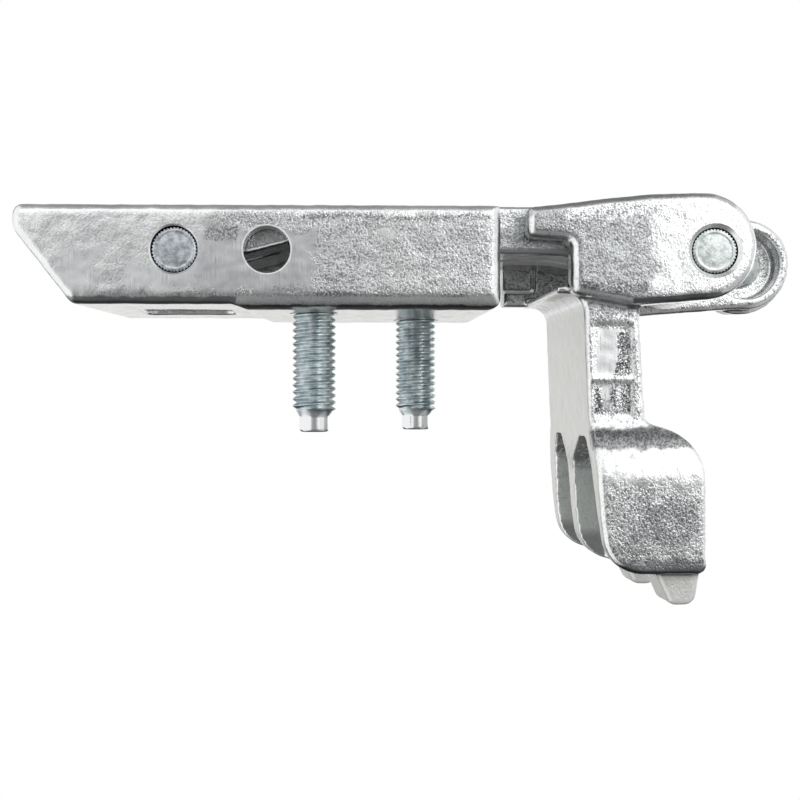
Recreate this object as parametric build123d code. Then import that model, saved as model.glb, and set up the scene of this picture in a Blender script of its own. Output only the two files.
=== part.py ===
"""Two-pin swing hinge of a spare tire carrier: a cast housing, a link arm and a cast bracket.

The housing is an open-topped channel that bolts to the carrier with two studs. A link arm lies in the
channel, turns on a pin at the housing's nose, and reaches out of the channel's open end. The bracket's two
ears hold the link's other end on a second pin, and its leg drops to a ribbed foot that bolts to the vehicle.

Frame: millimetres. The origin is midway between the studs, on the housing's mounting face. +X runs along
the arm from the housing's nose to the bracket, +Y runs across it, and +Z points away from the mounting face.
"""

import os
from math import hypot

from build123d import *

# ---------------------------------------------------------------- driving dimensions
PIN_SPACING = 94.8  # between the axes of the two hinge pins
PIN_RADIUS = 4.0  # running part of both hinge pins
KNURL_RADIUS = 4.12  # a pin's knurled near end, pressed into the casting; its far end stays plain
PIN_RECESS = 0.8  # how far a pin's end lies under the casting's face
HOUSING_PIN_MOUTH = 0.3  # chamfer round each pin's near end
BRACKET_PIN_MOUTH = 0.7
PIVOT_X = -34.3  # axis of the pin in the housing
PIVOT_Z = 10.4
CAST_EDGE = 1.3  # rounding on the bracket's outer edges
HOUSING_EDGE = 1.75  # the same round the housing's flanks
BELLY_EDGE = 3.2  # larger rounding along the housing's bottom edges
END_EDGE = 2.2  # rounding on the upright edges of the housing's open end

HOUSING_WIDTH = 43.5
WALL = 5.0
FLOOR = 4.0
HOUSING_TOP = 18.4
HOUSING_NOSE_X = -62.7
HOUSING_END_X = 22.9
NOSE_STEP_Z = 0.9  # the nose's underside stands clear of the mounting face
NOSE_SWEEP = 4.0  # the nose is this much shorter on its far side
CHANNEL_START_X = -44.2
ACCESS_HOLE_OFFSET = 16.1  # from the pin's axis, in the near wall only

LINK_TOP = 19.0
LINK_SIDE_GAP = 1.2  # between the link's flank and a channel wall, taken up by the bush flanges
NOSE_EYE_RADIUS = 7.2
EAR_EYE_RADIUS = 8.0

BUSH_OUTER = 5.0
BUSH_BORE = 4.05
BUSH_LENGTH = 13.0
FLANGE_RADIUS = 6.4
FLANGE_THICKNESS = 1.0

THREAD_RADIUS = 4.0  # M8 studs
STUD_SHANK_RADIUS = 4.25  # pressed into the housing's floor
DOG_POINT_RADIUS = 2.75
DOG_POINT_LENGTH = 2.9
STUD_REACH = 21.6  # below the mounting face
STUD_HEAD_RADIUS = 6.5
STUD_HEAD_HEIGHT = 2.5
STUD_OFFSET = 10.0  # each stud from the origin, along X and along Y

EAR_THICKNESS = 5.0
FINGER_X = 27.4  # free ends of the ears' fingers, next to the housing's open end
NEAR_EAR_START_X = 35.2
NEAR_TIP_X = 58.6  # centre of the near ear's round end
NEAR_TIP_Z = 11.3
NEAR_TIP_RADIUS = 9.5
FAR_TIP_X = 78.3  # centre of the far ear's round end, with its pocket and boss
FAR_TIP_Z = 12.0
FAR_TIP_RADIUS = 9.2
POCKET_RADIUS = 7.0
TIP_BOSS_RADIUS = 10.0
TIP_BOSS_Y = 26.3

LEG_NEAR_Y = -17.8
LEG_FAR_Y = 23.3
FOOT_NEAR_Y = -21.75
FOOT_FAR_Y = 27.25
FOOT_FACE_X = 59.1  # the foot's mounting face
FOOT_BOTTOM_Z = -46.5
FOOT_SIDE_NEAR = 3.5  # thickness of the foot's near and far sides
FOOT_SIDE_FAR = 5.0
WEB_NEAR_Y = 1.5  # the foot's middle web
WEB_FAR_Y = 6.8
POCKET_TOP_Z = -22.6
FOOT_WALL = 4.6
FOOT_HOLE_RADIUS = 4.5
FOOT_HOLE_SPACING = 22.0
FOOT_HOLE_Z = -34.5
LUG_BOTTOM_Z = -52.4
FLARE_TOP_Z = -20.2  # the leg widens to the foot between these
FLARE_BOTTOM_Z = -25.4
PANEL_DEPTH = 0.3  # two shallow panels in the leg's near flank, with a low rib between them
PANEL_RIB_Z = -12.1
PANEL_RIB_WIDTH = 0.4

# ---------------------------------------------------------------- worked-out values
HALF = HOUSING_WIDTH / 2
INNER = HALF - WALL  # half the channel's width, and of the gap between the bracket's ears
LINK_HALF = INNER - LINK_SIDE_GAP
EAR_PIN_X = PIVOT_X + PIN_SPACING
FAR_EAR_OUTER_Y = INNER + EAR_THICKNESS
FOOT_CENTRE_Y = (FOOT_NEAR_Y + FOOT_FAR_Y) / 2
STUD_PLACES = {"near": (-STUD_OFFSET, -STUD_OFFSET), "far": (STUD_OFFSET, STUD_OFFSET)}


# ---------------------------------------------------------------- helpers
def across(sketch_in_xz, y_from, y_to):
    """A solid whose X-Z outline is given, running across the hinge from y_from to y_to."""
    plane = Plane(origin=(0, y_from, 0), x_dir=(1, 0, 0), z_dir=(0, -1, 0))
    return extrude(plane * sketch_in_xz, amount=-(y_to - y_from))


def rod(x, z, radius, y_from, y_to):
    """A round bar across the hinge, centred on (x, z)."""
    return across(Pos(x, z) * Circle(radius), y_from, y_to)


def post(x, y, radius, z_from, z_to):
    """A round bar standing along Z."""
    return Pos(x, y, z_from) * extrude(Circle(radius), amount=z_to - z_from)


def block(x_from, x_to, y_from, y_to, z_from, z_to):
    """A rectangular block between two corners."""
    size = (x_to - x_from, y_to - y_from, z_to - z_from)
    centre = ((x_from + x_to) / 2, (y_from + y_to) / 2, (z_from + z_to) / 2)
    return Pos(*centre) * Box(*size)


def outline(*points):
    """A filled outline through points, joined by straight lines."""
    return make_face(Polyline(*points, close=True))


def soften(solid, edges, radius):
    """Rounds the edges, with a smaller radius where the full one doesn't fit."""
    for share in (1.0, 0.75, 0.5, 0.3):
        try:
            rounded = fillet(edges, radius * share)
        except Exception:
            continue
        if rounded.is_valid and rounded.volume > 0.5 * solid.volume:
            return rounded
    print(f"edges left sharp: {len(edges)} at radius {radius}")
    return solid


def flank_edges(solid, y_near, y_far):
    """The edges that bound a solid's two flat flanks."""
    found = ShapeList()
    for edge in solid.edges():
        box = edge.bounding_box()
        flat = box.max.Y - box.min.Y < 1e-3
        at_flank = min(abs(box.min.Y - y_near), abs(box.min.Y - y_far)) < 1e-3
        if flat and at_flank:
            found.append(edge)
    return found


def corners(sketch, radius_at):
    """Rounds a sketch's corners: radius_at maps a corner's nearest point to its radius."""
    for (x, z), radius in radius_at.items():
        near = sketch.vertices().sort_by_distance((x, z, 0))[0]
        sketch = fillet(near, radius)
    return sketch


# ---------------------------------------------------------------- housing
def housing():
    side = outline(
        (HOUSING_NOSE_X, 14.0),
        (HOUSING_NOSE_X, HOUSING_TOP),
        (HOUSING_END_X, HOUSING_TOP),
        (HOUSING_END_X, 0),
        (-22.0, 0),
        (-24.4, NOSE_STEP_Z),
        (-52.4, NOSE_STEP_Z),
    )
    side = corners(
        side,
        {
            (HOUSING_NOSE_X, 14.0): 3.0,
            (HOUSING_NOSE_X, HOUSING_TOP): 1.8,
            (-52.4, NOSE_STEP_Z): 1.6,
        },
    )
    flank = Plane(origin=(0, -HALF, 0), x_dir=(1, 0, 0), z_dir=(0, -1, 0)) * side
    swept = extrude(flank, amount=hypot(NOSE_SWEEP, HOUSING_WIDTH), dir=(NOSE_SWEEP, HOUSING_WIDTH, 0))
    body = block(HOUSING_NOSE_X, HOUSING_END_X, -HALF, HALF, 0, HOUSING_TOP) & swept
    edges = flank_edges(body, -HALF, HALF).filter_by(lambda edge: edge.center().Z > NOSE_STEP_Z + 0.6)
    nose_and_top = edges.filter_by(lambda edge: edge.center().X < HOUSING_END_X - 1)
    body = soften(body, nose_and_top, HOUSING_EDGE)

    end_corners = corners(side, {(HOUSING_END_X, HOUSING_TOP): 0.8, (HOUSING_END_X, 0): 2.2})
    body = body & across(end_corners, -HALF, HALF)
    length = HOUSING_END_X - HOUSING_NOSE_X
    section = Rectangle(HOUSING_WIDTH, 2 * HOUSING_TOP)
    section = fillet(section.vertices().group_by(Axis.Y)[0], BELLY_EDGE)
    section_plane = Plane(origin=(HOUSING_NOSE_X, 0, HOUSING_TOP), x_dir=(0, 1, 0), z_dir=(1, 0, 0))
    body = body & extrude(section_plane * section, amount=length)
    plan = Pos(HOUSING_END_X - length, 0) * Rectangle(2 * length, HOUSING_WIDTH)
    plan = fillet(plan.vertices().group_by(Axis.X)[-1], END_EDGE)
    body = body & extrude(plan, amount=HOUSING_TOP)

    channel = block(CHANNEL_START_X, HOUSING_END_X + 5, -INNER, INNER, FLOOR, HOUSING_TOP + 5)
    channel = fillet(channel.edges().filter_by(Axis.Z).group_by(Axis.X)[0], 1.5)
    eye_clearance = rod(PIVOT_X, PIVOT_Z, NOSE_EYE_RADIUS + 0.5, -INNER, INNER)
    drain_slot = block(PIVOT_X - 8.0, PIVOT_X + 8.8, -6.0, 8.5, -1, FLOOR + 1)
    drain_slot = fillet(drain_slot.edges().filter_by(Axis.Z), 2.0)
    access_hole = rod(PIVOT_X + ACCESS_HOLE_OFFSET, PIVOT_Z, KNURL_RADIUS, -HALF - 1, -INNER + 1)
    body = body - channel - eye_clearance - drain_slot - access_hole
    body = body - pin_bore(PIVOT_X, HALF, HOUSING_PIN_MOUTH)
    for x, y in STUD_PLACES.values():
        body = body - post(x, y, STUD_SHANK_RADIUS, -1, FLOOR + 1)
    return body


# ---------------------------------------------------------------- link arm
def link_arm():
    neck = outline(
        (PIVOT_X, PIVOT_Z + NOSE_EYE_RADIUS),
        (-22.0, LINK_TOP),
        (46.0, LINK_TOP),
        (EAR_PIN_X, PIVOT_Z + EAR_EYE_RADIUS),
        (EAR_PIN_X - 7.4, PIVOT_Z - 3.0),
        (34.0, 10.4),
        (17.0, 10.4),
        (8.0, 12.7),
        (-13.0, 12.7),
        (-21.0, 10.6),
        (-24.5, 9.8),
        (-28.4, 6.0),
        (PIVOT_X, PIVOT_Z),
    )
    neck = corners(
        neck,
        {
            (-22.0, LINK_TOP): 12.0,
            (46.0, LINK_TOP): 20.0,
            (34.0, 10.4): 20.0,
            (17.0, 10.4): 12.0,
            (8.0, 12.7): 12.0,
            (-13.0, 12.7): 8.0,
            (-24.5, 9.8): 2.5,
        },
    )
    nose_eye = Pos(PIVOT_X, PIVOT_Z) * Circle(NOSE_EYE_RADIUS)
    ear_eye = Pos(EAR_PIN_X, PIVOT_Z) * Circle(EAR_EYE_RADIUS)
    arm = across(neck + nose_eye + ear_eye, -LINK_HALF, LINK_HALF)
    arm = soften(arm, flank_edges(arm, -LINK_HALF, LINK_HALF), 0.8)
    arm = arm - block(-30, 54, -4.6, -2.4, 4, 12.0)
    for x in (PIVOT_X, EAR_PIN_X):
        arm = arm - rod(x, PIVOT_Z, BUSH_OUTER, -LINK_HALF, LINK_HALF)
    return arm


# ---------------------------------------------------------------- bushes, pins and studs
def flanged_bush(x, side):
    """A flanged bush pressed into one end of a link eye; side is -1 for the near face, 1 for the far one."""
    face = side * LINK_HALF
    lip = side * (LINK_HALF + FLANGE_THICKNESS)
    root = side * (LINK_HALF - BUSH_LENGTH)
    sleeve = rod(x, PIVOT_Z, BUSH_OUTER, min(face, root), max(face, root))
    flange = rod(x, PIVOT_Z, FLANGE_RADIUS, min(face, lip), max(face, lip))
    return sleeve + flange - rod(x, PIVOT_Z, BUSH_BORE, -HALF, HALF)


def pin_bore(x, y_far, mouth_size):
    """The bores for a pin, with a chamfer at the near face; the near bore is wider, for the knurl."""
    near = rod(x, PIVOT_Z, KNURL_RADIUS, -HALF - 1, 0)
    cone = Cone(KNURL_RADIUS, KNURL_RADIUS + 2 * mouth_size, 2 * mouth_size)
    mouth = Pos(x, -HALF, PIVOT_Z) * Rot(90, 0, 0) * cone
    far = rod(x, PIVOT_Z, PIN_RADIUS, 0, y_far + 1)
    return near + mouth + far


def hinge_pin(x, y_near, y_far):
    """A pin from y_near to y_far, knurled where it is pressed into the near wall."""
    shank = rod(x, PIVOT_Z, PIN_RADIUS, y_near, y_far)
    knurl = rod(x, PIVOT_Z, KNURL_RADIUS, y_near, y_near + WALL - PIN_RECESS)
    pin = shank + knurl
    rims = pin.edges().group_by(Axis.Y)
    return chamfer([rims[0][0], rims[-1][0]], 0.6)


def stud(x, y):
    """An M8 stud pressed through the floor from inside, with a shank in the floor and a dog point."""
    shoulder = -STUD_REACH + DOG_POINT_LENGTH
    cone = THREAD_RADIUS - DOG_POINT_RADIUS
    threaded = post(x, y, THREAD_RADIUS, shoulder + cone, 0)
    shank = post(x, y, STUD_SHANK_RADIUS, 0, FLOOR)
    taper = Pos(x, y, shoulder + cone / 2) * Cone(DOG_POINT_RADIUS, THREAD_RADIUS, cone)
    dog_point = post(x, y, DOG_POINT_RADIUS, -STUD_REACH, shoulder)
    dog_point = chamfer(dog_point.edges().group_by(Axis.Z)[0], 0.4)
    head = post(x, y, STUD_HEAD_RADIUS, FLOOR, FLOOR + STUD_HEAD_HEIGHT)
    head = fillet(head.edges().group_by(Axis.Z)[-1], 0.8)
    return threaded + shank + taper + dog_point + head


def link_buffer():
    """A rubber strip on the channel's floor that the link comes to rest on."""
    strip = block(17.0, 21.7, -13.0, 13.0, FLOOR, 10.1)
    return fillet(strip.edges().group_by(Axis.Z)[-1], 1.0)


# ---------------------------------------------------------------- bracket
def near_ear():
    plate = outline(
        (FINGER_X, 18.1),
        (33.2, 18.7),
        (40.2, 19.6),
        (49.1, 20.5),
        (NEAR_TIP_X, NEAR_TIP_Z + NEAR_TIP_RADIUS),
        (NEAR_TIP_X, NEAR_TIP_Z - NEAR_TIP_RADIUS),
        (46.6, 0.8),
        (NEAR_EAR_START_X, 2.9),
        (NEAR_EAR_START_X, 12.4),
        (FINGER_X, 12.8),
    )
    plate = corners(
        plate,
        {
            (NEAR_EAR_START_X, 2.9): 1.6,
            (NEAR_EAR_START_X, 12.4): 1.8,
            (FINGER_X, 18.1): 1.4,
            (FINGER_X, 12.8): 1.4,
            (46.6, 0.8): 14.0,
        },
    )
    tip = Pos(NEAR_TIP_X, NEAR_TIP_Z) * Circle(NEAR_TIP_RADIUS)
    ear = across(plate + tip, -HALF, -INNER)
    return soften(ear, flank_edges(ear, -HALF, -HALF), CAST_EDGE + 0.3)


def far_ear():
    top = FAR_TIP_Z + FAR_TIP_RADIUS - 0.2
    plate = outline(
        (FINGER_X + 0.9, 17.8),
        (40.0, 19.4),
        (FAR_TIP_X - 12, top),
        (FAR_TIP_X, top),
        (FAR_TIP_X, FAR_TIP_Z - FAR_TIP_RADIUS + 0.2),
        (57.0, 1.4),
        (44.0, 1.4),
        (36.5, 3.2),
        (FINGER_X + 0.9, 3.2),
    )
    tip = Pos(FAR_TIP_X, FAR_TIP_Z) * Circle(FAR_TIP_RADIUS)
    ear = across(plate + tip, INNER, FAR_EAR_OUTER_Y)
    ear = soften(ear, flank_edges(ear, INNER, FAR_EAR_OUTER_Y), CAST_EDGE - 0.2)
    boss = rod(FAR_TIP_X, FAR_TIP_Z, TIP_BOSS_RADIUS, FAR_EAR_OUTER_Y - 0.5, TIP_BOSS_Y)
    boss = fillet(boss.edges().group_by(Axis.Y)[-1], 1.0)
    finger_relief = block(FINGER_X - 1, 34.6, INNER - 1, INNER + 1.2, 6.2, 30)
    pocket = rod(FAR_TIP_X, FAR_TIP_Z, POCKET_RADIUS, INNER - 1, FAR_EAR_OUTER_Y)
    return ear + boss - finger_relief - pocket


def leg_and_foot():
    """The leg and the foot: one outline across the hinge, and another along it that flares to the foot."""
    across_outline = outline(
        (33.2, 3.2),
        (38.0, 3.2),
        (38.8, -18.0),
        (40.3, -37.0),
        (41.6, FOOT_BOTTOM_Z),
        (FOOT_FACE_X, FOOT_BOTTOM_Z),
        (FOOT_FACE_X, -26.5),
        (55.0, -21.6),
        (49.4, -19.8),
        (48.1, 2.0),
        (48.0, 4.4),
        (33.2, 4.4),
    )
    across_outline = corners(
        across_outline,
        {
            (38.0, 3.2): 3.2,
            (38.8, -18.0): 20.0,
            (41.6, FOOT_BOTTOM_Z): 7.0,
            (FOOT_FACE_X, FOOT_BOTTOM_Z): 1.8,
            (FOOT_FACE_X, -26.5): 9.0,
            (55.0, -21.6): 9.0,
            (49.4, -19.8): 1.2,
        },
    )
    solid = across(across_outline, FOOT_NEAR_Y, FOOT_FAR_Y)

    along = outline(
        (LEG_NEAR_Y, 6.0),
        (LEG_NEAR_Y, FLARE_TOP_Z),
        (FOOT_NEAR_Y, FLARE_BOTTOM_Z),
        (FOOT_NEAR_Y, FOOT_BOTTOM_Z - 1),
        (FOOT_FAR_Y, FOOT_BOTTOM_Z - 1),
        (FOOT_FAR_Y, FLARE_BOTTOM_Z),
        (LEG_FAR_Y, FLARE_TOP_Z),
        (LEG_FAR_Y, 6.0),
    )
    along = corners(
        along,
        {
            (LEG_NEAR_Y, FLARE_TOP_Z): 3.0,
            (FOOT_NEAR_Y, FLARE_BOTTOM_Z): 14.0,
            (FOOT_FAR_Y, FLARE_BOTTOM_Z): 14.0,
            (LEG_FAR_Y, FLARE_TOP_Z): 3.0,
        },
    )
    plane = Plane(origin=(30, 0, 0), x_dir=(0, 1, 0), z_dir=(1, 0, 0))
    solid = solid & extrude(plane * along, amount=40)
    upright = ShapeList()
    for edge in solid.edges():
        size = edge.bounding_box().size
        if size.Z > 4 and size.Y < 6:
            upright.append(edge)
    return soften(solid, upright, CAST_EDGE + 0.1)


def foot_pocket(outer_y, inner_y):
    """A pocket beside the middle web, open towards the housing, with an arched ceiling."""
    side = outline(
        (30.0, -25.0),
        (40.0, -21.5),
        (50.5, -24.0),
        (FOOT_FACE_X - FOOT_WALL, -30.0),
        (FOOT_FACE_X - FOOT_WALL, FOOT_BOTTOM_Z + 4.0),
        (46.5, FOOT_BOTTOM_Z + 4.0),
        (46.5, FOOT_BOTTOM_Z - 1.0),
        (30.0, FOOT_BOTTOM_Z - 1.0),
    )
    side = corners(side, {(50.5, -24.0): 3.0, (FOOT_FACE_X - FOOT_WALL, -30.0): 3.0})
    inward = 1 if inner_y > outer_y else -1
    haunch = (outer_y + 2.6 * inward, -26.8)
    shoulder = (outer_y + 6.0 * inward, POCKET_TOP_Z)
    crown = (outer_y + 10.6 * inward, POCKET_TOP_Z)
    spring = (inner_y, -27.4)
    arch = outline(
        (outer_y, FOOT_BOTTOM_Z - 10),
        (outer_y, -38.0),
        haunch,
        shoulder,
        crown,
        spring,
        (inner_y, FOOT_BOTTOM_Z - 10),
    )
    arch = corners(arch, {haunch: 5.0, shoulder: 1.6, crown: 3.0, spring: 5.0})
    plane = Plane(origin=(30, 0, 0), x_dir=(0, 1, 0), z_dir=(1, 0, 0))
    y_from, y_to = min(outer_y, inner_y), max(outer_y, inner_y)
    return across(side, y_from, y_to) & extrude(plane * arch, amount=40)


def flank_panel(z_from, z_to):
    """A shallow panel sunk into the leg's near flank."""
    side = outline((39.6, z_from), (47.1, z_from), (46.6, z_to), (39.3, z_to))
    side = fillet(side.vertices(), 0.7)
    return across(side, LEG_NEAR_Y - 1, LEG_NEAR_Y + PANEL_DEPTH)


def lug(y_from, y_to):
    """A blunt toe under the foot that locates it against the vehicle."""
    root = FOOT_BOTTOM_Z + 1
    side = outline((50.3, root), (53.4, LUG_BOTTOM_Z), (57.8, LUG_BOTTOM_Z), (FOOT_FACE_X - 0.1, root))
    side = corners(side, {(53.4, LUG_BOTTOM_Z): 1.5, (57.8, LUG_BOTTOM_Z): 2.2})
    toe = across(side, y_from, y_to)
    return soften(toe, flank_edges(toe, y_from, y_to), 1.0)


def bracket():
    body = near_ear() + far_ear() + leg_and_foot()
    body = body - foot_pocket(FOOT_NEAR_Y + FOOT_SIDE_NEAR, WEB_NEAR_Y)
    body = body - foot_pocket(FOOT_FAR_Y - FOOT_SIDE_FAR, WEB_FAR_Y)
    body = body + lug(-18.4, -8.0) + lug(9.0, 19.4)
    body = body - flank_panel(-19.2, PANEL_RIB_Z - PANEL_RIB_WIDTH / 2)
    body = body - flank_panel(PANEL_RIB_Z + PANEL_RIB_WIDTH / 2, -2.0)
    body = body - pin_bore(EAR_PIN_X, FAR_EAR_OUTER_Y, BRACKET_PIN_MOUTH)
    body = body - rod(FAR_TIP_X, FAR_TIP_Z, KNURL_RADIUS, FAR_EAR_OUTER_Y - 1, TIP_BOSS_Y + 1)
    for side in (-1, 1):
        y = FOOT_CENTRE_Y + side * FOOT_HOLE_SPACING / 2
        hole = Pos(FOOT_FACE_X, y, FOOT_HOLE_Z) * Rot(0, 90, 0) * Cylinder(FOOT_HOLE_RADIUS, 4 * FOOT_WALL)
        body = body - hole
    return body


def stop_pin():
    """A short pin in the pocket at the far ear's tip."""
    pin = rod(FAR_TIP_X, FAR_TIP_Z, KNURL_RADIUS, INNER + 2.4, TIP_BOSS_Y - 0.4)
    return chamfer(pin.edges().filter_by(GeomType.CIRCLE), 0.6)


# ---------------------------------------------------------------- export
def main():
    parts = {
        "housing": housing(),
        "link_arm": link_arm(),
        "bracket": bracket(),
        "housing_pin": hinge_pin(PIVOT_X, -HALF + PIN_RECESS, HALF - PIN_RECESS),
        "bracket_pin": hinge_pin(EAR_PIN_X, -HALF + PIN_RECESS, FAR_EAR_OUTER_Y - PIN_RECESS),
        "link_buffer": link_buffer(),
        "stop_pin": stop_pin(),
    }
    for side, (x, y) in STUD_PLACES.items():
        parts[f"stud_{side}"] = stud(x, y)
    for eye, x in (("nose", PIVOT_X), ("ear", EAR_PIN_X)):
        parts[f"{eye}_bush_near"] = flanged_bush(x, -1)
        parts[f"{eye}_bush_far"] = flanged_bush(x, 1)

    os.makedirs("parts", exist_ok=True)
    for name, shape in parts.items():
        export_step(shape, f"parts/{name}.step")


main()
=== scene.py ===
"""Looks of a spare tire carrier's two-pin swing hinge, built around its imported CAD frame.

The three castings are re-meshed copies of their CAD nodes, with soft cast edges and an uneven skin. The
studs get their threads, and the pins get their knurls and upset ends. Lengths are in metres, in the CAD
model's frame.
"""

import math
from dataclasses import dataclass

import bmesh
import bpy
import numpy as np
from mathutils import Matrix, Vector, noise


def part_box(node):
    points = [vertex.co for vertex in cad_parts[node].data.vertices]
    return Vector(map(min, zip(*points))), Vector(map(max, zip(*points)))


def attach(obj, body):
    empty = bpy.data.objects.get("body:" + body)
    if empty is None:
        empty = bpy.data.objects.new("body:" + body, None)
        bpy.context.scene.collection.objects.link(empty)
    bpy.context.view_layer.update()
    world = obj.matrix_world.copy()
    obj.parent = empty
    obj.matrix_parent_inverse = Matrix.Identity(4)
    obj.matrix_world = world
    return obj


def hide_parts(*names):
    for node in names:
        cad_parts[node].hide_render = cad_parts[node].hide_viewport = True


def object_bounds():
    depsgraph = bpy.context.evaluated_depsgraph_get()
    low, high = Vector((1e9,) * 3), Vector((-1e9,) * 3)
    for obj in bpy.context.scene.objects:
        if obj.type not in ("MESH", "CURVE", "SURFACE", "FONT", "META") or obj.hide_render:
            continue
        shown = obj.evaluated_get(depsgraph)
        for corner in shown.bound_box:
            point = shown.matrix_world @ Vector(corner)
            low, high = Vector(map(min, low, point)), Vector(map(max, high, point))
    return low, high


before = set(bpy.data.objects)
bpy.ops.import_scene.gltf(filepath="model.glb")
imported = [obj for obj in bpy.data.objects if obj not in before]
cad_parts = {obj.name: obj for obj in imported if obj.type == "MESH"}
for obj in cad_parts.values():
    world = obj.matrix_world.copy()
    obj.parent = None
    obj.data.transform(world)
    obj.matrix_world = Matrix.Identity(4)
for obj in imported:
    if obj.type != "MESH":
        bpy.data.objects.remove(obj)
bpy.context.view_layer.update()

MM = 0.001

# ---------------------------------------------------------------- sizes, in millimetres
CAST_VOXEL = 0.38  # the castings' mesh, fine enough for their rounded edges
CAST_SMOOTH_STEPS = 2
WELD = 0.001  # CAD vertices closer than this are one
LUMP_DEPTH = 0.10  # how far the uneven cast skin sinks below the CAD surface
LUMP_SIZE = 2.6
SMALL_LUMP_SIZE = 1.2
TRUE_RADIUS = 5.0  # the skin stays true this far from an axis
TRUE_FADE = 2.0  # and turns lumpy over this distance
THREAD_PITCH = 1.25
THREAD_CREST = 3.96
THREAD_ROOT = 3.3
THREAD_ROWS = 14  # in each pitch
DOG_POINT_RADIUS = 2.75
DOG_POINT_LENGTH = 2.9
STUD_HEAD_RADIUS = 6.5
STUD_HEAD_HEIGHT = 2.5
STUD_SHANK_RADIUS = 4.25
KNURL_TEETH = 40
KNURL_PEAK = 4.12
KNURL_VALLEY = 3.7
KNURL_LENGTH = 4.2
PIN_RADIUS = 4.0
BORE_RADIUS = 4.12  # the bores in the near walls
PLUG_MARGIN = 0.3  # how much wider the plugs are than the bores with their mouths
WALL = 5.0
HOUSING_PIN_MOUTH = 0.3
BRACKET_PIN_MOUTH = 0.7
HOLE_MOUTH = 0.16
HOLE_RIM_HIGHLIGHT = 0.26  # width of the painted highlight round the access hole
ACCESS_HOLE_OFFSET = 16.1  # from the housing pin's axis

# ---------------------------------------------------------------- meshes
RIM_ANGLE = math.radians(25)
SHARP_ANGLE = math.radians(42)
PLUG_SEGMENTS = 64
BORE_SEGMENTS = 96
STUD_SEGMENTS = 72
STOP_PIN_SEGMENTS = 96

# ---------------------------------------------------------------- tones of the castings' zinc plate
HOLLOW_TONE = (0.22, 0.23, 0.24)
CREST_TONE = (0.97, 0.98, 0.98)
GROOVE_TONE = (0.30, 0.31, 0.32)
# painted shade for downward and leftward faces
UNDER_SHADE_TONE = (0.64, 0.63, 0.60)
LEFTWARD_SHADE_TONE = (0.48, 0.48, 0.45)
WEAR_TONE = (0.30, 0.30, 0.29)
# painted shade in spots, on slopes and on rounded edges
SHADE_SPOT_TONE = (0.25, 0.26, 0.27)
SLOPE_SHADE_TONE = (0.16, 0.165, 0.17)
EDGE_SHADE_TONE = (0.10, 0.105, 0.11)
DIRT_TONE = (0.08, 0.085, 0.09)
SPOT_WOBBLE = 7.0  # how far a spot's border wanders, in its own softnesses

# ---------------------------------------------------------------- view and studio
CAMERA_PLACE = (-8.66, -250.46, -15.8)
CAMERA_TURN_DEG = 1.5  # the view is turned this much to the right of straight across the hinge
CAMERA_LENS = 59.15
CAMERA_SHIFT_X = 0.055
CAMERA_CLIP = 0.01
FLOOR_GAP = 0.3
FLOOR_SIZE = 4.0
WORLD_GAIN = 1.3
TO_RIGHT_GAIN = 0.95
TO_LEFT_GAIN = 0.45
LEFT_WALL_TONE = (0.80, 0.80, 0.80)
RIGHT_WALL_TONE = (0.42, 0.42, 0.42)
SOFTBOX_AZIMUTH = 26.0
SOFTBOX_ELEVATION = 13.0
SOFTBOX_DISTANCE = 0.8
SOFTBOX_SIZE = 0.36
SOFTBOX_RADIANCE = 1.5


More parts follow.
